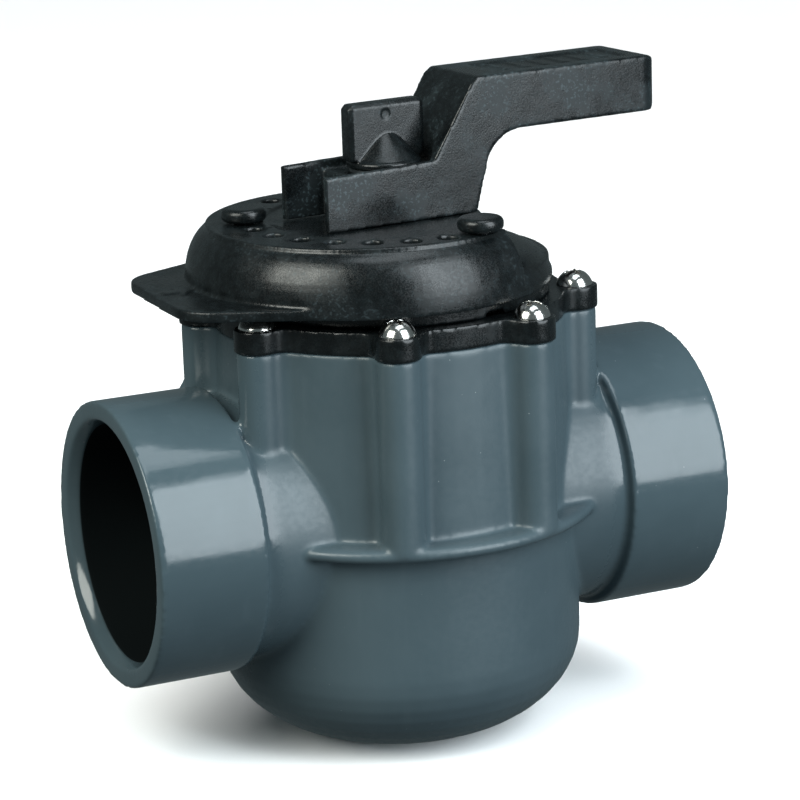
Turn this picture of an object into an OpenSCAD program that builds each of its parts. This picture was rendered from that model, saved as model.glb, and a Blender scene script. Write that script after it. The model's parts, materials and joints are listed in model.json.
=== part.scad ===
// Three way diverter valve for 2 inch plastic pipe.
// Origin: centre of the flat foot, on the stem axis. +X: outlet port, -X: inlet port, +Y: second outlet, +Z: up.

/* [Ports] */
// Height of the port axes above the foot
axis_height = 60; // [58:0.5:64]
// From the stem axis to each port's face
port_reach = 79.4; // [76:0.2:84]
// Outside diameter of the port collars
collar_od = 73; // [72:0.5:75]
// Length of the full-diameter collar
collar_length = 28.5; // [24:0.5:29]
// Outside diameter of the neck between collar and barrel
neck_od = 67.6; // [66:0.2:69]
// Inside diameter of the solvent sockets
socket_bore = 60.5; // [60:0.1:61]
// Depth of the solvent sockets
socket_depth = 37; // [32:1:38]
// From the stem axis to the side port's face
side_reach = 72; // [70:0.2:84]
// Length of the side port's collar
side_collar_length = 21; // [18:0.5:29]
// Depth of the side port's socket
side_socket_depth = 30; // [26:1:38]
// Inside diameter of the waterway
waterway_bore = 53; // [50:1:54]

/* [Barrel] */
// Outside radius of the upper barrel at the rib
barrel_r = 46; // [45:0.5:47]
// Outside radius of the upper barrel at the deck
barrel_top_r = 45.2; // [44:0.1:46]
// Outside radius of the lower barrel
lower_r = 47.5; // [46:0.5:48]
// Radius of the chamber that the diverter turns in
chamber_r = 38; // [37.5:0.1:38.5]
// Height of the deck above the port axes
deck_rise = 49.3; // [47:0.1:50]
// Radius of the flat foot
foot_r = 14; // [10:1:18]
// Outside radius of the rib round the barrel
rib_r = 53; // [52:0.5:54]
// Thickness of the rib
rib_t = 3.4; // [2.5:0.1:4]

/* [Cover] */
// Radius of the circle of cover screws
screw_circle_r = 48; // [47.5:0.1:48.5]
// Number of cover screws
screw_count = 8; // [8:8:8]
// Thickness of the cover plate
plate_t = 5.9; // [5.5:0.1:8]
// Radius of the cover plate between its lobes
plate_r = 45.3; // [44:0.1:46]
// Radius of each lobe
lobe_r = 5.9; // [5.8:0.1:6.6]
// Radius of a screw head
head_r = 4.75; // [4:0.05:5]
// Height of a screw head
head_h = 3.9; // [3:0.1:4.2]

/* [Index dome] */
// Radius of the dome's rim
dome_r = 46.9; // [46:0.1:48]
// How far the dome's centre lies towards the inlet
dome_shift = 5.3; // [4:0.1:6]
// Height of the dome's rim above the cover plate
rim_rise = 4.2; // [4.2:0.1:6]
// Height of the dome's dial above the cover plate
dial_rise = 20.6; // [20:0.1:22]
// Radius of the raised dial
dial_r = 41.2; // [40:0.1:42]
// Radius of the ring of index holes
ring_r = 36.4; // [36:0.1:37]
// Angle between index holes
index_step = 15; // [15:15:15]
// From the stem axis to the inlet tab's outer edge
tab_reach = 63.5; // [62:0.5:70]

/* [Handle] */
// Direction of the grip from the outlet at rest
handle_angle = 5; // [0:1:85]
// Width of the handle
handle_w = 24; // [23:0.5:30]
// From the stem axis to the end of the grip
grip_reach = 77; // [70:1:85]
// Height of the grip's top above the port axes
grip_rise = 110; // [106:1:116]
// Thickness of the grip
grip_t = 14.6; // [12:0.2:16]
// Length of the hub's open tail from the stem axis
tail_reach = 23.4; // [22:0.2:26]
// Thickness of the handle's walls
wall_t = 1.9; // [1.6:0.1:3]

/* [Hidden] */
$fn = 72;

eps = 0.05;
gap = 0.1;
deck_z = axis_height + deck_rise;
plate_z = deck_z + plate_t;

// Levels inside the chamber
floor_z = 13;
disc_t = 4;
frame_half = 33;
frame_low_z = axis_height - frame_half - disc_t;
frame_high_z = axis_height + frame_half + disc_t;
pivot_r = 9;
pivot_depth = 6;
bush_t = 1.5;

// Cover
spigot_depth = 6;
spigot_r = chamber_r - 0.25;
tower_r = 17;
tower_top_z = plate_z + 9;
recess_depth = 2.2;
stem_r = 9;
seal_section_r = 1.2;
seal_groove_r = 35.5;
screw_r = 2.05;
screw_length = 16;

// Dome
rim_z = plate_z + rim_rise;
dial_z = plate_z + dial_rise;
dial_t = 2.2;
dial_floor_z = dial_z - 0.7;
dial_floor_r = 31;
hub_floor_r = 24.5;
shoulder_r = 38.5;
shoulder_z = dial_z - 0.4;
crown_r = 36;
crown_z = dial_z - 8.2;
dome_wall = 2.4;
skirt_r = 41.4;
skirt_wall = 2.2;
tab_t = 2.6;
tab_corner_r = 12;
tab_half_w = 27;
tab_angle = 2;
peg_r = 2.5;
peg_head_r = 5.8;
peg_head_h = 3.6;
peg_head_rise = 0.4;
peg_depth = 12;
peg_angles = [180 - index_step, 180 + 7 * index_step];
hole_span = 7;

// Stem, stop arm and handle
square_side = 11;
arm_z = tower_top_z + 0.8;
arm_t = 3.5;
arm_half_w = ring_r * sin(index_step) - peg_r - 0.15;
hub_low_z = dial_floor_z + 0.2;
hub_deck_z = axis_height + 87;
grip_top_z = axis_height + grip_rise;
arm_foot = 20.4;
relief_r = 12.6;
stem_top_z = hub_deck_z - 1;
knob_low_z = hub_deck_z + 1.3;
wing_w = 22;
wing_t = 5.2;
wing_top_z = axis_height + 104.8;
flange_r = 9.6;
flange_t = 1.9;
stud_r = 3.15;
insert_r = 4.4;
insert_h = 5;

body_grey = [0.36, 0.42, 0.45];
moulded_black = [0.07, 0.075, 0.08];

module at_screws() {
    for (i = [0 : screw_count - 1])
        rotate([0, 0, (i + 0.5) * 360 / screw_count]) translate([screw_circle_r, 0, 0]) children();
}

// Places a port end that was drawn along +Z
module at_port(bearing) {
    rotate([0, 0, bearing]) translate([0, 0, axis_height]) rotate([0, 90, 0]) children();
}

module tube(outer_r, inner_r, h) {
    difference() {
        cylinder(r = outer_r, h = h);
        translate([0, 0, -eps]) cylinder(r = inner_r, h = h + 2 * eps);
    }
}

module torus(ring_radius, section_r) {
    rotate_extrude() translate([ring_radius, 0]) circle(r = section_r, $fn = 32);
}

// A bar that is square in plan, centred on the stem axis and turned with the handle
module stem_square(side, low_z, high_z) {
    rotate([0, 0, handle_angle]) translate([-side / 2, -side / 2, low_z])
        cube([side, side, high_z - low_z]);
}

// ---- Valve body ----

// Quarter ellipse from the foot's edge up to (base_r, h), as outline points
function bowl_points(foot, base_r, h, steps) =
    [for (i = [0 : steps]) [foot + (base_r - foot) * sin(90 * i / steps), h - h * cos(90 * i / steps)]];

module barrel_profile() {
    bowl_h = 25;
    polygon(concat([[0, 0]], bowl_points(foot_r, lower_r, bowl_h, 10),
                   [[lower_r, axis_height], [barrel_r, axis_height], [barrel_top_r, deck_z], [0, deck_z]]));
    // Rib on the parting line, with a rounded rim
    translate([0, axis_height - rib_t / 2]) square([rib_r - rib_t / 2, rib_t]);
    translate([rib_r - rib_t / 2, axis_height]) circle(r = rib_t / 2, $fn = 32);
}

// Outline about a screw that joins its round lobe to the ring round the stem axis with concave arcs
module lobe_outline(ring, lobe, fillet) {
    across = screw_circle_r;
    centre_x = ((ring + fillet) * (ring + fillet) - (lobe + fillet) * (lobe + fillet) - across * across)
               / (2 * across);
    centre_y = sqrt((lobe + fillet) * (lobe + fillet) - centre_x * centre_x);
    on_ring = ring / (ring + fillet);
    root_x = (across + centre_x) * on_ring - across;
    root_y = centre_y * on_ring;
    neck = 0.95 * lobe / (lobe + fillet);
    circle(r = lobe);
    difference() {
        polygon([[root_x - 4, -root_y], [root_x, -root_y], [centre_x * neck, -centre_y * neck],
                 [centre_x * neck, centre_y * neck], [root_x, root_y], [root_x - 4, root_y]]);
        for (side = [-1, 1])
            translate([centre_x, side * centre_y]) circle(r = fillet);
    }
}

// Bosses beside a port end stop in its neck, the two at the front run down to the rib
module screw_boss(low_z) {
    translate([0, 0, low_z]) linear_extrude(deck_z - low_z) lobe_outline(barrel_top_r + 0.05, 5.4, 4);
}

module screw_bosses() {
    for (i = [0 : screw_count - 1])
        rotate([0, 0, (i + 0.5) * 360 / screw_count]) translate([screw_circle_r, 0, 0])
            screw_boss(i == 5 || i == 6 ? axis_height : axis_height + 21.5);
}

module port_outside(reach, collar) {
    translate([0, 0, 20]) cylinder(d = neck_od, h = reach - 25);
    translate([0, 0, reach - collar]) cylinder(d = collar_od, h = collar);
}

module port_inside(reach, socket) {
    chamfer = 1.8;
    translate([0, 0, 15]) cylinder(d = waterway_bore, h = reach - 20);
    translate([0, 0, reach - socket]) cylinder(d = socket_bore, h = socket + 1);
    translate([0, 0, reach - 3])
        cylinder(d1 = socket_bore, d2 = socket_bore + 2 * chamfer, h = 3 + eps);
}

module valve_body() {
    color(body_grey) difference() {
        union() {
            rotate_extrude() barrel_profile();
            screw_bosses();
            for (bearing = [0, 180])
                at_port(bearing) port_outside(port_reach, collar_length);
            at_port(90) port_outside(side_reach, side_collar_length);
        }
        translate([0, 0, floor_z]) cylinder(r = chamber_r, h = deck_z);
        translate([0, 0, floor_z - pivot_depth]) cylinder(r = pivot_r, h = pivot_depth + eps);
        for (bearing = [0, 180])
            at_port(bearing) port_inside(port_reach, socket_depth);
        at_port(90) port_inside(side_reach, side_socket_depth);
        at_screws() translate([0, 0, deck_z - screw_length]) cylinder(r = screw_r + 0.05, h = screw_length + 1);
    }
}

// ---- Cover ----

module plate_outline() {
    circle(r = plate_r);
    at_screws() lobe_outline(plate_r - 0.1, lobe_r, 4);
}

module cover_plate() {
    color(moulded_black) difference() {
        union() {
            translate([0, 0, deck_z]) linear_extrude(plate_t) plate_outline();
            translate([0, 0, deck_z - spigot_depth]) cylinder(r = spigot_r, h = spigot_depth + eps);
            cylinder_between(tower_r, plate_z - eps, tower_top_z);
            cover_ribs();
        }
        cover_recess();
        cylinder_between(stem_r + gap, deck_z - spigot_depth - 1, tower_top_z + 1);
        translate([0, 0, deck_z - spigot_depth / 2 - 1.5])
            tube(chamber_r + 1, seal_groove_r, 3);
        at_screws() cylinder_between(2.7, deck_z - 1, plate_z + 1);
    }
}

module cylinder_between(r, low_z, high_z) {
    translate([0, 0, low_z]) cylinder(r = r, h = high_z - low_z);
}

// Annular recess between the tower and the outer ring, crossed by ribs
module cover_recess() {
    difference() {
        translate([0, 0, plate_z - recess_depth]) tube(39.5, tower_r, recess_depth + eps);
        cover_ribs();
    }
}

module cover_ribs() {
    rib_w = 2;
    for (i = [0 : screw_count - 1])
        rotate([0, 0, i * 360 / screw_count]) translate([tower_r - 1, -rib_w / 2, plate_z - recess_depth - eps])
            cube([39.5 - tower_r + 1, rib_w, recess_depth + eps - 0.4]);
}

module cover_seal() {
    color("dimgray") translate([0, 0, deck_z - spigot_depth / 2])
        torus(seal_groove_r + seal_section_r + 0.04, seal_section_r);
}

module cover_screw() {
    cross_w = 1.3;
    cross_l = 5;
    ball_r = (head_r * head_r + head_h * head_h) / (2 * head_h);
    difference() {
        union() {
            translate([0, 0, -screw_length + 1 - plate_t]) cylinder(r = screw_r, h = screw_length + plate_t - 1 + eps);
            intersection() {
                translate([0, 0, head_h - ball_r]) sphere(r = ball_r);
                cylinder(r = head_r, h = head_h);
            }
        }
        for (a = [0, 90])
            rotate([0, 0, a + 20]) translate([-cross_l / 2, -cross_w / 2, head_h - 2.2])
                cube([cross_l, cross_w, 3]);
    }
}

module cover_screws() {
    color("silver") at_screws() translate([0, 0, plate_z]) cover_screw();
}

// ---- Index dome and its pegs ----

// A turned form about the dome's own axis: wall up to wall_z, then a quarter ellipse to a flat top
module dome_turned(top_r, top_z, wall_z, inset) {
    wide = dome_r - inset;
    flat_r = top_r - inset;
    high = top_z - inset;
    shoulder = [for (i = [1 : 10]) [flat_r + (wide - flat_r) * cos(9 * i), wall_z + (high - wall_z) * sin(9 * i)]];
    translate([-dome_shift, 0, 0]) rotate_extrude()
        polygon(concat([[0, rim_z - eps], [wide, rim_z - eps], [wide, wall_z]], shoulder, [[0, high]]));
}

// The dome without its dial: a low crown, a higher side towards the inlet, and the hub's floor
module dome_form(inset) {
    dome_turned(crown_r, crown_z, rim_z + 0.3, inset);
    difference() {
        dome_turned(shoulder_r, shoulder_z, rim_z + 2.4, inset);
        outlet_wedge(inset);
    }
    cylinder_between(hub_floor_r - inset, rim_z, dial_floor_z - inset);
}

// The side towards the outlet, which has no raised dial
module outlet_wedge(back) {
    half = 180 - (hole_span + 0.7) * index_step;
    reach = 60;
    translate([-back, 0, rim_z - 1]) linear_extrude(40)
        polygon([[0, 0], [reach, -reach * tan(half)], [reach, reach * tan(half)]]);
}

module inlet_tab() {
    rotate([0, 0, -tab_angle]) translate([0, 0, rim_z - 0.2]) difference() {
        linear_extrude(tab_t) hull() {
            for (side = [-1, 1])
                translate([tab_corner_r - tab_reach, side * (tab_half_w - tab_corner_r)])
                    circle(r = tab_corner_r);
            translate([-dome_shift, 0]) circle(r = dome_r - 1);
        }
        translate([0, 0, -1]) cylinder(r = skirt_r - skirt_wall + 0.5, h = tab_t + 2);
    }
}

// The dial holds the index holes, and its middle is sunk under the hub
module raised_dial() {
    difference() {
        union() {
            translate([-dome_shift, 0, dial_z - dial_t]) cylinder(r = dial_r, h = dial_t);
            cylinder_between(dial_floor_r, dial_z - 6, dial_floor_z);
        }
        outlet_wedge(0);
    }
}

module index_dome() {
    color(moulded_black) difference() {
        union() {
            difference() {
                union() {
                    dome_form(0);
                    raised_dial();
                }
                dome_form(dome_wall);
            }
            inlet_tab();
            // Skirt that stands on the cover plate inside the ring of screw heads
            translate([0, 0, plate_z + eps]) tube(skirt_r, skirt_r - skirt_wall, rim_rise + 5);
            // Lip between skirt and rim
            translate([-dome_shift, 0, rim_z - 0.2]) difference() {
                cylinder(r = dome_r, h = 2);
                translate([dome_shift, 0, -1]) cylinder(r = skirt_r - skirt_wall, h = 4);
            }
            dial_marks();
            floor_marks();
            tab_arrow();
        }
        difference() {
            cylinder_between(dial_floor_r, dial_floor_z, dial_floor_z + 5);
            floor_marks();
        }
        cylinder_between(stem_r + 0.6, plate_z + 5, dial_z + 1);
        for (i = [-hole_span : hole_span])
            rotate([0, 0, 180 + i * index_step]) translate([ring_r, 0, dial_z - 8])
                cylinder(r = peg_r + 0.1, h = 10, $fn = 32);
        // Notches that let rain water drain out from under the dome
        for (a = [15 : 90 : 285])
            rotate([0, 0, a]) translate([skirt_r - 4, -3, plate_z - 1]) cube([8, 6, 2.5]);
    }
}

// Short raised strokes beside the holes
module dial_marks() {
    stroke_w = 0.7;
    for (i = [-hole_span : hole_span])
        rotate([0, 0, 180 + i * index_step]) translate([dial_floor_r + 0.3, -stroke_w / 2, dial_z - 0.5])
            cube([i % 2 == 0 ? 2.4 : 1.4, stroke_w, 0.75]);
}

// Rows of raised strokes on the sunk floor, one towards each port end
module floor_marks() {
    stroke_w = 0.7;
    for (a = [90, 180, 270], i = [-2 : 2])
        rotate([0, 0, a + 4.5 * i]) translate([28.7, -stroke_w / 2, dial_floor_z - 0.5])
            cube([1.8, stroke_w, 0.9]);
}

// Raised arrow that points in from the inlet
module tab_arrow() {
    rotate([0, 0, -tab_angle]) translate([6.6 - tab_reach, 0, rim_z + tab_t - 0.7]) linear_extrude(0.9)
        polygon([[4, 0], [0, -4.5], [0, -1.6], [-4, -1.6], [-4, 1.6], [0, 1.6], [0, 4.5]]);
}

module stop_peg(angle) {
    color(moulded_black) rotate([0, 0, angle]) translate([ring_r, 0, dial_z]) {
        translate([0, 0, -peg_depth]) cylinder(r = peg_r, h = peg_depth + 1);
        translate([0, 0, peg_head_rise]) rotate_extrude() peg_head_outline();
    }
}

module peg_head_outline() {
    corner = 1.5;
    square([peg_head_r - corner, peg_head_h]);
    translate([0, corner]) square([peg_head_r, peg_head_h - 2 * corner]);
    for (z = [corner, peg_head_h - corner])
        translate([peg_head_r - corner, z]) circle(r = corner, $fn = 32);
}

module stop_peg_left() { stop_peg(peg_angles[0]); }

module stop_peg_right() { stop_peg(peg_angles[1]); }

// ---- Stem and diverter ----

module o_ring_groove(z) {
    translate([0, 0, z - 1.2]) tube(stem_r + 1, stem_r - 2.05, 2.4);
}

pin_z = frame_high_z + 1.85;
upper_ring_z = plate_z + 2;
lower_ring_z = deck_z - 1;
stem_shoulder_r = 14;

module stem() {
    color("dimgray") difference() {
        union() {
            cylinder_between(stem_shoulder_r, frame_high_z, deck_z - spigot_depth - bush_t - gap);
            cylinder_between(stem_r, frame_high_z, arm_z - 0.2);
            intersection() {
                stem_square(square_side, arm_z - 1, stem_top_z);
                cylinder_between(7.2, arm_z - 2, stem_top_z + 1);
            }
        }
        o_ring_groove(upper_ring_z);
        o_ring_groove(lower_ring_z);
        cylinder_between(3.2, stem_top_z - 16, stem_top_z + 1);
        // Cross hole for the pin that ties the stem to the diverter
        translate([0, 0, pin_z]) rotate([0, 90, handle_angle + 90])
            translate([0, 0, -20]) cylinder(r = 1.3, h = 40);
        // Slot that the clip above the stop arm snaps into
        translate([0, 0, arm_z + arm_t + 0.1]) tube(9, 6.4, 1.2);
    }
}

module stem_o_ring(z) {
    color("black") translate([0, 0, z]) torus(stem_r - 1.02, 1.0);
}

module stem_o_ring_upper() { stem_o_ring(upper_ring_z); }

module stem_o_ring_lower() { stem_o_ring(lower_ring_z); }

module thrust_washer() {
    color("ivory") translate([0, 0, deck_z - spigot_depth - bush_t])
        tube(stem_shoulder_r, stem_r + gap, bush_t - gap / 2);
}

module pivot_bush() {
    color("ivory") translate([0, 0, floor_z - pivot_depth + 0.1]) {
        tube(pivot_r - 0.02, pivot_r - 1.6, pivot_depth + eps);
        translate([0, 0, pivot_depth]) tube(14, pivot_r - 1.6, bush_t);
    }
}

paddle_half = 50;

module paddle_sector(inner_r, outer_r, low_z, high_z, half) {
    rotate([0, 0, handle_angle]) translate([0, 0, low_z]) intersection() {
        tube(outer_r, inner_r, high_z - low_z);
        linear_extrude(high_z - low_z)
            polygon([[0, 0], 90 * [cos(half), -sin(half)], [90, 0], 90 * [cos(half), sin(half)]]);
    }
}

module diverter() {
    disc_r = 37.3;
    color("dimgray") difference() {
        union() {
            cylinder_between(disc_r, frame_low_z, frame_low_z + disc_t);
            cylinder_between(disc_r, frame_high_z - disc_t, frame_high_z);
            paddle_sector(32.5, disc_r - 0.2, frame_low_z + disc_t - 1, frame_high_z - disc_t + 1, paddle_half);
            // Ribs across the back of the closing face
            for (z = [-16, 0, 16])
                paddle_sector(26, 33, axis_height + z - 1.25, axis_height + z + 1.25, 44);
            // Pivot, and the collar that the stem's shoulder stands in
            cylinder_between(pivot_r - 1.7, floor_z - pivot_depth + 0.4, frame_low_z + eps);
            cylinder_between(13, floor_z + bush_t + 0.15, frame_low_z + eps);
            translate([0, 0, frame_high_z - eps]) tube(18.5, stem_shoulder_r + 0.1, 4);
        }
        // Windows that let the water past the discs
        for (a = [60, 120, 180, 240, 300])
            rotate([0, 0, a + handle_angle]) translate([24.5, 0, frame_high_z - disc_t - 1])
                cylinder(r = 5.4, h = disc_t + 1.5);
        seal_path(28.2, 31.4, 35.4, 60);
        translate([0, 0, pin_z]) rotate([0, 90, handle_angle + 90])
            translate([0, 0, -20]) cylinder(r = 1.3, h = 40);
    }
}

// A ring round the port's axis, bent to the chamber's wall between two radii
module seal_path(ring_in, ring_out, wrap_in, wrap_out) {
    rotate([0, 0, handle_angle]) intersection() {
        translate([20, 0, axis_height]) rotate([0, 90, 0]) tube(ring_out, ring_in, 30);
        translate([0, 0, axis_height - 40]) tube(wrap_out, wrap_in, 80);
    }
}

module diverter_seal() {
    color("black") seal_path(28.3, 31.3, 35.45, chamber_r - 0.12);
}

module diverter_pin() {
    color("silver") translate([0, 0, pin_z]) rotate([0, 90, handle_angle + 90])
        translate([0, 0, -18]) cylinder(r = 1.27, h = 36);
}

module stop_arm() {
    // The arm points to the handle's tail, so that the pegs bound the tail
    color("dimgray") difference() {
        rotate([0, 0, handle_angle + 180]) translate([0, 0, arm_z]) {
            cylinder(r = 11, h = arm_t);
            translate([0, -arm_half_w, 0]) cube([ring_r - 1, 2 * arm_half_w, arm_t]);
        }
        intersection() {
            stem_square(square_side + 0.1, arm_z - 1, arm_z + 10);
            cylinder_between(7.25, arm_z - 2, arm_z + 11);
        }
    }
}

module arm_clip() {
    color("silver") translate([0, 0, arm_z + arm_t + 0.2]) difference() {
        tube(10, 6.45, 1);
        rotate([0, 0, handle_angle]) translate([0, -3, -1]) cube([20, 6, 3]);
    }
}

// ---- Handle ----

// Side outline: x along the grip, y up from the port axes
module handle_side() {
    low = hub_low_z - axis_height;
    under = grip_rise - grip_t;
    polygon([[-tail_reach, low], [-tail_reach, 89.2], [7.9, 90], [19.5, 108.4], [21.5, grip_rise],
             [grip_reach - 3, grip_rise], [grip_reach - 0.9, grip_rise - 0.9], [grip_reach, grip_rise - 3],
             [grip_reach, under + 2], [grip_reach - 2, under], [22.9, under], [22.9, 85], [arm_foot, low]]);
    // Fillet under the arm
    difference() {
        polygon([[22, under + 1], [35, under + 1], [35, under], [34.2, under], [23.1, 85], [22, 83]]);
        translate([34.2, under - 11]) circle(r = 11);
    }
}

module handle_upright(half_w) {
    translate([0, half_w, axis_height]) rotate([90, 0, 0]) linear_extrude(2 * half_w) children();
}

module handle_solid() {
    corner = 5;
    intersection() {
        handle_upright(handle_w / 2) handle_side();
        // Plan outline with a rounded grip end
        union() {
            translate([-tail_reach, -handle_w / 2, 0])
                cube([tail_reach + grip_reach - corner, handle_w, 200]);
            translate([0, -handle_w / 2 + corner, 0]) cube([grip_reach, handle_w - 2 * corner, 200]);
            for (side = [-1, 1])
                translate([grip_reach - corner, side * (handle_w / 2 - corner), 0]) cylinder(r = corner, h = 200);
        }
    }
}

module grip_panel() {
    depth = 0.6;
    translate([30, -7, grip_top_z - depth]) cube([40, 14, 2]);
}

module grip_panel_ribs() {
    for (i = [0 : 5])
        translate([34 + i * 6, -5, grip_top_z - 1]) cube([2, 10, 0.8]);
}

// Hollow under the grip and the arm, left open underneath
module grip_core() {
    core_w = handle_w / 2 - 2.6;
    translate([31, -core_w, axis_height + grip_rise - grip_t - 3]) cube([grip_reach - 35, 2 * core_w, grip_t]);
    translate([16.2, -core_w, hub_low_z - 3]) cube([3, 2 * core_w, 8]);
}

module handle() {
    inner_w = handle_w / 2 - wall_t;
    color(moulded_black) rotate([0, 0, handle_angle]) difference() {
        union() {
            difference() {
                handle_solid();
                grip_core();
                grip_panel();
            }
            grip_panel_ribs();
            for (x = [41, 51, 61])
                translate([x, -handle_w / 2 + 1, grip_top_z - grip_t + 1]) cube([1.8, handle_w - 2, grip_t - 2]);
        }
        // Open tail between the two side walls
        translate([-tail_reach - 1, -inner_w, hub_low_z - 1]) cube([tail_reach + 1 - 12, 2 * inner_w, 40]);
        // Room for the knob to turn between the walls
        intersection() {
            cylinder_between(relief_r, hub_deck_z, hub_deck_z + 60);
            translate([-relief_r, -inner_w, hub_deck_z]) cube([2 * relief_r, 2 * inner_w, 60]);
        }
        translate([-tail_reach - 1, -inner_w, hub_deck_z]) cube([tail_reach + 1 + 2, 2 * inner_w, 40]);
        // Socket for the stem's square, and the hole for its stud
        intersection() {
            translate([-square_side / 2 - gap, -square_side / 2 - gap, hub_low_z - 1])
                cube([square_side + 2 * gap, square_side + 2 * gap, stem_top_z - hub_low_z + 1 + gap]);
            cylinder_between(7.2 + gap, hub_low_z - 1, stem_top_z + gap);
        }
        cylinder_between(3.6, hub_low_z, hub_deck_z + 5);
        cylinder_between(10.8, hub_low_z - 1, hub_low_z + 1.2);
    }
}

// ---- Lock knob ----

module stem_stud() {
    color("silver") cylinder_between(stud_r, stem_top_z - 15, knob_low_z + 5.9);
}

module knob_washer() {
    color("silver") translate([0, 0, hub_deck_z + 0.05]) tube(8.8, stud_r + 0.15, 1.1);
}

// The wing stands on the flange, clear of the handle's walls
module knob_wing() {
    edge = 1.2;
    low = flange_t + 0.2;
    high = wing_top_z - knob_low_z;
    translate([0, 0, low]) hull() {
        for (side = [-1, 1]) {
            translate([side * (wing_w / 2 - edge), 0, 0]) linear_extrude(high - low - 1.2)
                square([2 * edge, wing_t - 1.6], center = true);
            translate([side * (wing_w / 2 - 2 * edge), 0, 0]) linear_extrude(high - low)
                square([2 * edge, wing_t - 1.6], center = true);
            translate([side * (wing_w / 2 - 2 * edge), 0, 0]) linear_extrude(high - low - 1)
                square([2 * edge, wing_t], center = true);
        }
    }
}

module lock_knob() {
    color(moulded_black) translate([0, 0, knob_low_z]) rotate([0, 0, handle_angle]) difference() {
        union() {
            rotate_extrude()
                polygon([[0, 0], [flange_r - 0.3, 0], [flange_r, 0.3], [flange_r, flange_t - 0.5],
                         [flange_r - 0.5, flange_t], [0, flange_t]]);
            knob_wing();
            // Low cone that holds the insert
            translate([0, 0, flange_t - eps]) cylinder(r1 = flange_r - 0.8, r2 = 3, h = 6.4);
        }
        // Small round moulding mark on each face of the wing
        for (side = [-1, 1])
            translate([-0.5, side * (wing_t / 2 + 0.75), 13.4]) rotate([90, 0, 0])
                cylinder(r = 1.4, h = 2, center = true);
        translate([0, 0, -1]) cylinder(r = insert_r + 0.05, h = insert_h + 1.2);
        translate([0, 0, -1]) cylinder(r = stud_r + 0.15, h = 7.3);
    }
}

module knob_insert() {
    color("goldenrod") translate([0, 0, knob_low_z + 0.1]) tube(insert_r, stud_r + 0.05, insert_h);
}

valve_body();
cover_plate();
cover_seal();
cover_screws();
index_dome();
stop_peg_left();
stop_peg_right();
stem();
stem_o_ring_upper();
stem_o_ring_lower();
thrust_washer();
pivot_bush();
diverter();
diverter_seal();
diverter_pin();
stop_arm();
arm_clip();
handle();
stem_stud();
knob_washer();
lock_knob();
knob_insert();
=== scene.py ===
"""Three way valve: softened mouldings, materials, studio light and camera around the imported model."""
import json
import math

import bpy
from mathutils import Matrix, Vector


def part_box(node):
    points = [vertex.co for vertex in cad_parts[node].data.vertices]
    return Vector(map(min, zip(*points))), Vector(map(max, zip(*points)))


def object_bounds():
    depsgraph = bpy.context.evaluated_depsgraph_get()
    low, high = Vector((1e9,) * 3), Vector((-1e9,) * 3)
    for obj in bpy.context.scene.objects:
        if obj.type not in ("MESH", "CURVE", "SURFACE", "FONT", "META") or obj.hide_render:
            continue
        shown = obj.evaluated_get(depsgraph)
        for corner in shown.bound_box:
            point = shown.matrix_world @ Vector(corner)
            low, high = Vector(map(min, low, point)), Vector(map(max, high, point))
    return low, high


MM = 0.001
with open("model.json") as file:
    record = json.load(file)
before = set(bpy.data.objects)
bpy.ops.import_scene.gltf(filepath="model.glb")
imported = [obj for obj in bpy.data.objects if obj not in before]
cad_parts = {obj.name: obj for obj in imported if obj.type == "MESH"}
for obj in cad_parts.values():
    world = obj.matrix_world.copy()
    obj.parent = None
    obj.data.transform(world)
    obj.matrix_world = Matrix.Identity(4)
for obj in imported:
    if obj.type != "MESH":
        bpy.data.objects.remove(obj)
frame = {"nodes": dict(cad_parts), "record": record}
nodes = frame["nodes"]
cad_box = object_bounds()


def bearing(azimuth, elevation):
    """Unit vector away from the valve. Azimuth 0 is in front of it, towards -Y, and 90 is to the right."""
    a, e = math.radians(azimuth), math.radians(elevation)
    return Vector((math.sin(a) * math.cos(e), -math.cos(a) * math.cos(e), math.sin(e)))


# ---- Camera ----

def camera(azimuth, elevation, roll, distance, lens, target):
    """A camera on the given bearing from the target, turned by roll about its view."""
    a, r = math.radians(azimuth), math.radians(roll)
    back = bearing(azimuth, elevation)
    right = Vector((math.cos(a), math.sin(a), 0))
    up = back.cross(right)
    tilted_right = right * math.cos(r) + up * math.sin(r)
    tilted_up = up * math.cos(r) - right * math.sin(r)
    data = bpy.data.cameras.new("camera")
    data.sensor_width = 36
    data.lens = lens
    data.clip_start = 0.05
    data.clip_end = 20
    made = bpy.data.objects.new("camera", data)
    turn = Matrix((tilted_right, tilted_up, back)).transposed().to_4x4()
    made.matrix_world = Matrix.Translation(target + back * distance) @ turn
    bpy.context.scene.collection.objects.link(made)
    bpy.context.scene.camera = made


camera(azimuth=-24.93, elevation=14.71, roll=-1.90, distance=822.7 * MM, lens=142.74,
       target=Vector((2.34, 0, 86.10)) * MM)


# ---- Materials ----

socket = next(m for m in frame["record"]["mounts"] if m["name"] == "inlet_socket")
body_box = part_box("valve_body")
PORT_FACE = cad_box[1].x
SIDE_FACE = body_box[1].y
PORT_HEIGHT = socket["pos_m"][2]
MOUTH = 3.2 * MM  # depth of the lit chamfer at a port's mouth
BORE_EDGE = (socket["dims"]["r_mm"] + 0.35) * MM
CHAMBER_EDGE = 38.4 * MM
CHAMBER_FLOOR = 12 * MM
CHAMBER_TOP = body_box[1].z - 0.5 * MM


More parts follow.
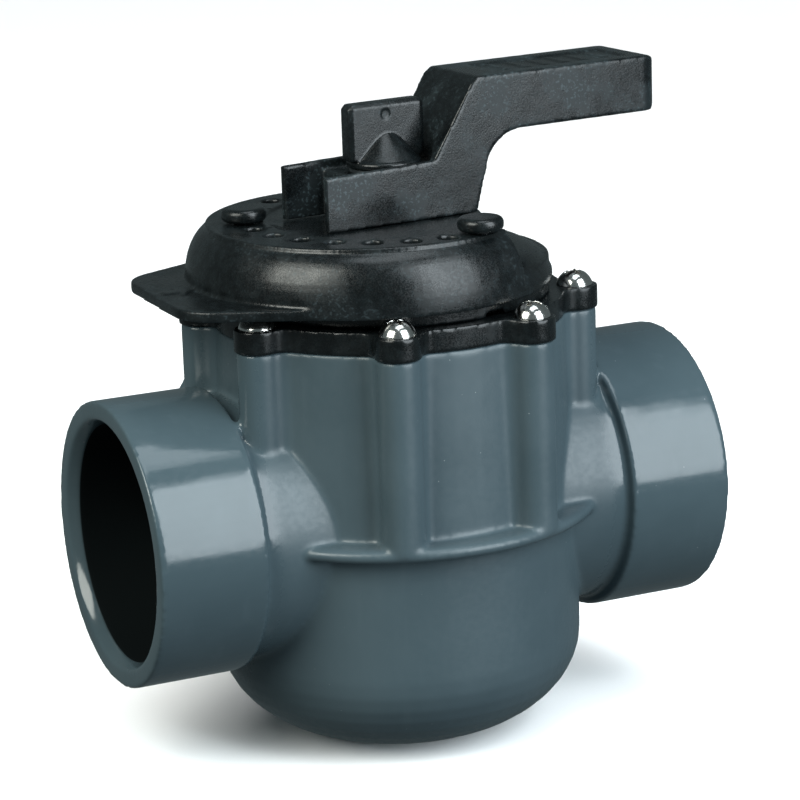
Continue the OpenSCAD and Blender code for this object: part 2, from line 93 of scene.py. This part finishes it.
class Nodes:
    """Short names for building one material's node tree."""

    def __init__(self, name):
        self.material = bpy.data.materials.new(name)
        self.material.use_nodes = True
        self.tree = self.material.node_tree
        self.shader = self.tree.nodes["Principled BSDF"]
        self.place = self.tree.nodes.new("ShaderNodeTexCoord").outputs["Object"]

    def link(self, output, socket):
        self.tree.links.new(output, socket)

    def set(self, **values):
        for name, value in values.items():
            self.shader.inputs[name.replace("_", " ")].default_value = value

    def stretched(self, x, y, z):
        node = self.tree.nodes.new("ShaderNodeMapping")
        node.inputs["Scale"].default_value = (x, y, z)
        self.link(self.place, node.inputs["Vector"])
        return node.outputs["Vector"]

    def noise(self, size, detail=2.0, place=None):
        """Noise whose features are about size metres across, from 0 to 1."""
        node = self.tree.nodes.new("ShaderNodeTexNoise")
        node.inputs["Scale"].default_value = 1 / size
        node.inputs["Detail"].default_value = detail
        self.link(place or self.place, node.inputs["Vector"])
        return node.outputs["Fac"]

    def cells(self, size):
        """Distance to the nearest of scattered points about size metres apart, and each one's number."""
        node = self.tree.nodes.new("ShaderNodeTexVoronoi")
        node.inputs["Scale"].default_value = 1 / size
        self.link(self.place, node.inputs["Vector"])
        return node.outputs["Distance"], node.outputs["Color"]

    def remap(self, value, low, high, to_low, to_high):
        node = self.tree.nodes.new("ShaderNodeMapRange")
        node.interpolation_type = "SMOOTHSTEP"
        for name, number in (("From Min", low), ("From Max", high), ("To Min", to_low), ("To Max", to_high)):
            node.inputs[name].default_value = number
        self.link(value, node.inputs["Value"])
        return node.outputs["Result"]

    def math(self, operation, first, second):
        node = self.tree.nodes.new("ShaderNodeMath")
        node.operation = operation
        for socket, value in zip(node.inputs, (first, second)):
            if isinstance(value, (int, float)):
                socket.default_value = value
            else:
                self.link(value, socket)
        return node.outputs["Value"]

    def mix(self, factor, first, second):
        """A colour between first and second, where either is a colour or an output."""
        node = self.tree.nodes.new("ShaderNodeMix")
        node.data_type = "RGBA"
        self.link(factor, node.inputs["Factor"])
        for name, value in (("A", first), ("B", second)):
            socket = [s for s in node.inputs if s.name == name and s.type == "RGBA"][0]
            if isinstance(value, tuple):
                socket.default_value = (*value, 1)
            else:
                self.link(value, socket)
        return [s for s in node.outputs if s.type == "RGBA"][0]

    def radius(self, first, second):
        square = [self.math("MULTIPLY", value, value) for value in (first, second)]
        return self.math("SQRT", self.math("ADD", *square), 0)

    def within(self, value, limit, fade=0.3 * MM):
        """1 where value is under limit, falling to 0 over a short fade."""
        return self.remap(value, limit - fade, limit + fade, 1.0, 0.0)

    def bump(self, height, depth, under=None):
        """Relief of the given depth in metres, over the relief under it."""
        node = self.tree.nodes.new("ShaderNodeBump")
        node.inputs["Strength"].default_value = 1.0
        node.inputs["Distance"].default_value = depth
        self.link(height, node.inputs["Height"])
        if under:
            self.link(under, node.inputs["Normal"])
        return node.outputs["Normal"]


def port_bore(n):
    """How far a point is inside the ports or chamber, from 0 to 1, the mask for the painted shade there, and
    its reach along a port.
    """
    parts = n.tree.nodes.new("ShaderNodeSeparateXYZ")
    n.link(n.place, parts.inputs["Vector"])
    x, y, z = (parts.outputs[axis] for axis in "XYZ")
    rise = n.math("SUBTRACT", z, PORT_HEIGHT)
    along_x, across_x = n.math("ABSOLUTE", x, 0), n.radius(y, rise)
    across_y = n.radius(x, rise)
    behind = n.remap(y, 0, 1 * MM, 0.0, 1.0)
    side_bore = n.math("MULTIPLY", n.within(across_y, BORE_EDGE), behind)
    inside = n.math("MAXIMUM", n.within(across_x, BORE_EDGE), side_bore)
    chamber = n.math("MULTIPLY", n.within(n.radius(x, y), CHAMBER_EDGE), n.within(z, CHAMBER_TOP))
    above_floor = n.remap(z, CHAMBER_FLOOR, CHAMBER_FLOOR + 1 * MM, 0.0, 1.0)
    chamber = n.math("MULTIPLY", chamber, above_floor)
    deep = n.math("MULTIPLY", n.within(along_x, PORT_FACE - MOUTH), n.within(y, SIDE_FACE - MOUTH))
    return n.math("MULTIPLY", n.math("MAXIMUM", inside, chamber), deep), n.math("MAXIMUM", along_x, y)


SLATE = (0.056, 0.084, 0.098)
PALE_SLATE = (0.065, 0.095, 0.110)
FLOW_LINE = (0.080, 0.112, 0.128)
DUST = (0.42, 0.46, 0.47)
# Near black painted shade for the insides of the ports and chamber.
UNLIT_BORE = (0.0035, 0.0055, 0.0060)
COLLAR_STARTS = 44 * MM  # from the stem axis, where the satin barrel turns into the glossy port ends


def pipe_grey():
    """Slate grey pipe plastic: satin barrel, glossy port ends, painted shade inside the ports, specked with
    dust.
    """
    n = Nodes("pipe_grey")
    inside, outward = port_bore(n)
    cloud = n.noise(22 * MM, 3)
    flow = n.noise(5 * MM, 2, n.stretched(1.0, 1.0, 0.12))
    tint = n.mix(n.remap(cloud, 0.3, 0.7, 0.0, 1.0), SLATE, PALE_SLATE)
    tint = n.mix(n.remap(flow, 0.55, 0.8, 0.0, 0.3), tint, FLOW_LINE)
    distance, number = n.cells(3.2 * MM)
    near, chosen = n.remap(distance, 0.02, 0.05, 1.0, 0.0), n.remap(number, 0.7, 0.75, 0.0, 0.8)
    tint = n.mix(n.math("MULTIPLY", near, chosen), tint, DUST)
    # Past the mouths the ports and chamber are painted near black: painted shade where light does not reach.
    n.link(n.mix(inside, tint, UNLIT_BORE), n.shader.inputs["Base Color"])
    satin = n.remap(outward, COLLAR_STARTS, COLLAR_STARTS + 6 * MM, 0.36, 0.13)
    rough = n.math("ADD", satin, n.remap(n.noise(1.4 * MM, 3), 0.3, 0.7, -0.03, 0.05))
    n.link(n.math("MAXIMUM", rough, n.math("MULTIPLY", inside, 0.8)), n.shader.inputs["Roughness"])
    n.link(n.remap(inside, 0.0, 1.0, 0.5, 0.08), n.shader.inputs["Specular IOR Level"])
    grain = n.bump(n.noise(0.5 * MM, 2), 0.006 * MM)
    n.link(n.bump(n.noise(9 * MM, 1), 0.06 * MM, under=grain), n.shader.inputs["Normal"])
    n.set(IOR=1.5)
    return n.material


BLACK = (0.0040, 0.0056, 0.0062)


def lighter_black(times):
    return tuple(times * c for c in BLACK)


def grained_black(name, grain_depth, clouds, glint_strength):
    """Black plastic with a fine moulded grain, lighter in random clouds, with pale specks that are painted
    glints of the grain.
    """
    n = Nodes(name)
    grain = n.noise(0.4 * MM, 2)
    mottle = n.noise(2.2 * MM, 4)
    cloud = n.remap(n.noise(11 * MM, 3), 0.42, 0.66, 0.0, 1.0)
    tint = n.mix(n.remap(mottle, 0.35, 0.7, 0.0, 1.0), lighter_black(0.6), lighter_black(1.4))
    tint = n.mix(n.math("MULTIPLY", cloud, clouds), tint, lighter_black(3.0))
    # Pale specks, densest in the clouds: painted glints of the grain, not a colour of the plastic.
    painted_glint = n.math("MULTIPLY", n.remap(n.noise(0.75 * MM, 2), 0.55, 0.66, 0.0, glint_strength),
                  n.remap(cloud, 0.0, 1.0, 0.15, 1.0))
    n.link(n.mix(painted_glint, tint, lighter_black(12.0)), n.shader.inputs["Base Color"])
    rough = n.math("ADD", n.remap(cloud, 0.0, 1.0, 0.24, 0.36), n.remap(grain, 0.35, 0.65, -0.05, 0.08))
    n.link(rough, n.shader.inputs["Roughness"])
    fine = n.bump(grain, grain_depth)
    n.link(n.bump(n.noise(9 * MM, 2), 0.08 * MM, under=fine), n.shader.inputs["Normal"])
    n.set(IOR=1.45)
    return n.material


def smooth_plastic(name, low, high, roughness):
    """Turned or moulded plastic, faintly uneven between two colours."""
    n = Nodes(name)
    n.link(n.mix(n.remap(n.noise(3 * MM, 4), 0.3, 0.7, 0.0, 1.0), low, high), n.shader.inputs["Base Color"])
    rough = n.remap(n.noise(0.9 * MM, 3), 0.3, 0.7, roughness - 0.05, roughness + 0.06)
    n.link(rough, n.shader.inputs["Roughness"])
    n.link(n.bump(n.noise(0.6 * MM, 2), 0.01 * MM), n.shader.inputs["Normal"])
    return n.material


def seal_rubber():
    n = Nodes("seal_rubber")
    tint = n.mix(n.noise(1.2 * MM, 4), (0.010, 0.010, 0.011), (0.028, 0.028, 0.030))
    n.link(tint, n.shader.inputs["Base Color"])
    n.link(n.remap(n.noise(0.4 * MM, 3), 0.3, 0.7, 0.5, 0.68), n.shader.inputs["Roughness"])
    n.link(n.bump(n.noise(0.25 * MM, 3), 0.02 * MM), n.shader.inputs["Normal"])
    return n.material


def bright_metal(name, low, high, roughness):
    """Tumbled metal: mirror bright with fine scuffs."""
    n = Nodes(name)
    scuff = n.noise(0.35 * MM, 5)
    n.link(n.mix(n.remap(scuff, 0.35, 0.7, 0.0, 1.0), high, low), n.shader.inputs["Base Color"])
    n.link(n.remap(scuff, 0.35, 0.75, roughness, roughness + 0.14), n.shader.inputs["Roughness"])
    n.link(n.bump(n.noise(0.8 * MM, 3), 0.012 * MM), n.shader.inputs["Normal"])
    n.set(Metallic=1.0)
    return n.material


# One finish for each material slot of the record
finishes = {
    "body_plastic": pipe_grey(),
    "black_plastic": grained_black("grained_black", 0.02 * MM, 0.3, 0.35),
    "inner_plastic": smooth_plastic("inner_plastic", (0.018, 0.022, 0.024), (0.032, 0.038, 0.041), 0.42),
    "white_plastic": smooth_plastic("bush_plastic", (0.62, 0.60, 0.54), (0.76, 0.74, 0.68), 0.40),
    "rubber": seal_rubber(),
    "stainless": bright_metal("stainless", (0.52, 0.51, 0.49), (0.76, 0.75, 0.72), 0.10),
    "brass": bright_metal("turned_brass", (0.52, 0.36, 0.13), (0.74, 0.55, 0.24), 0.22),
}
plain_black = grained_black("satin_black", 0.008 * MM, 0.15, 0.1)
# The handle's black: lighter in clouds and with the strongest painted glints.
clouded_glint_black = grained_black("clouded_glint_black", 0.03 * MM, 1.0, 0.9)


# ---- Mouldings: every CAD node keeps its mesh and gets its finish; the listed ones get softened edges ----

def dress(name, material):
    materials = nodes[name].data.materials
    materials.clear()
    materials.append(material)


def moulded(name, voxel, passes):
    """Even mesh with every edge and inside corner rounded by about two voxels, as on a moulding."""
    remesh = nodes[name].modifiers.new("even_mesh", "REMESH")
    remesh.mode = "VOXEL"
    remesh.voxel_size = voxel
    remesh.use_smooth_shade = True
    smooth = nodes[name].modifiers.new("rounded", "SMOOTH")
    smooth.factor = 0.5
    smooth.iterations = passes


def edged(name, width):
    """Small even round on every sharp edge."""
    weld = nodes[name].modifiers.new("joined", "WELD")
    weld.merge_threshold = 0.002 * MM
    bevel = nodes[name].modifiers.new("edges", "BEVEL")
    bevel.width = width
    bevel.segments = 3
    bevel.limit_method = "ANGLE"
    bevel.angle_limit = math.radians(35)
    bevel.use_clamp_overlap = True
    bevel.harden_normals = True


for row in frame["record"]["subparts"]:
    dress(row["node"], finishes[row["material_slot"]])
dress("cover_plate", plain_black)
dress("handle", clouded_glint_black)

# Voxel in millimetres and smoothing passes: finer where a piece has small detail
VOXELS = {
    "valve_body": (0.65, 8), "index_dome": (0.40, 5), "handle": (0.45, 4), "cover_plate": (0.40, 3),
    "lock_knob": (0.25, 5), "cover_screws": (0.14, 3), "diverter": (0.60, 3), "stem": (0.35, 2),
    "stop_peg_left": (0.20, 3), "stop_peg_right": (0.20, 3),
}
for name, (voxel, passes) in VOXELS.items():
    moulded(name, voxel * MM, passes)
TURNED_AND_CUT = ("stop_arm", "arm_clip", "stem_stud", "knob_washer", "knob_insert", "thrust_washer",
                  "pivot_bush", "diverter_pin")
for name in TURNED_AND_CUT:
    edged(name, 0.2 * MM)


# ---- Floor and light ----

MIDDLE = (cad_box[0] + cad_box[1]) / 2
COOL = (0.86, 0.95, 1.0)
GREENISH = (0.97, 1.0, 0.93)
DIM_TEAL = (0.78, 0.97, 1.0)


def floor():
    """Pale floor under the foot. A sun that lights nothing else washes it to near white."""
    half = 3.0
    corners = [(-half, -half, 0), (half, -half, 0), (half, half, 0), (-half, half, 0)]
    mesh = bpy.data.meshes.new("floor")
    mesh.from_pydata(corners, [], [(0, 1, 2, 3)])
    made = bpy.data.objects.new("floor", mesh)
    bpy.context.scene.collection.objects.link(made)
    n = Nodes("pale_floor")
    tint = n.mix(n.noise(300 * MM, 2), (0.86, 0.86, 0.86), (0.90, 0.90, 0.90))
    n.link(tint, n.shader.inputs["Base Color"])
    n.set(Roughness=0.9)
    mesh.materials.append(n.material)
    made.visible_diffuse = False
    made.visible_glossy = False
    wash = bpy.data.lights.new("floor_wash", "SUN")
    wash.energy = 2.9
    wash.angle = 1.4
    lamp = bpy.data.objects.new("floor_wash", wash)
    bpy.context.scene.collection.objects.link(lamp)
    lit = bpy.data.collections.new("lit_by_wash")
    lit.objects.link(made)
    lamp.light_linking.receiver_collection = lit


def softbox(name, azimuth, elevation, distance, width, height, radiance, colour):
    """A rectangular light on a bearing from the valve's middle, facing it."""
    away = bearing(azimuth, elevation)
    data = bpy.data.lights.new(name, "AREA")
    data.shape = "RECTANGLE"
    data.size = width
    data.size_y = height
    data.color = colour
    data.energy = radiance * width * height * math.pi
    made = bpy.data.objects.new(name, data)
    made.location = MIDDLE + away * distance
    made.rotation_mode = "QUATERNION"
    made.rotation_quaternion = away.to_track_quat("Z", "Y")
    bpy.context.scene.collection.objects.link(made)


def surroundings(strength, colour):
    """Even dim light from all round, as from the walls of a dark studio."""
    world = bpy.data.worlds.new("studio")
    world.use_nodes = True
    background = world.node_tree.nodes["Background"]
    background.inputs["Color"].default_value = (*colour, 1)
    background.inputs["Strength"].default_value = strength
    bpy.context.scene.world = world


floor()
surroundings(0.14, DIM_TEAL)
softbox("key", 25, 24, distance=0.75, width=0.45, height=0.80, radiance=6.8, colour=COOL)
softbox("top", 25, 77, distance=0.8, width=0.5, height=0.30, radiance=3.2, colour=COOL)
softbox("side", -70, 36, distance=0.85, width=0.50, height=0.50, radiance=8.5, colour=GREENISH)
view = bpy.context.scene.view_settings
view.view_transform = "Standard"
view.look = "None"
view.exposure = 0
view.gamma = 1
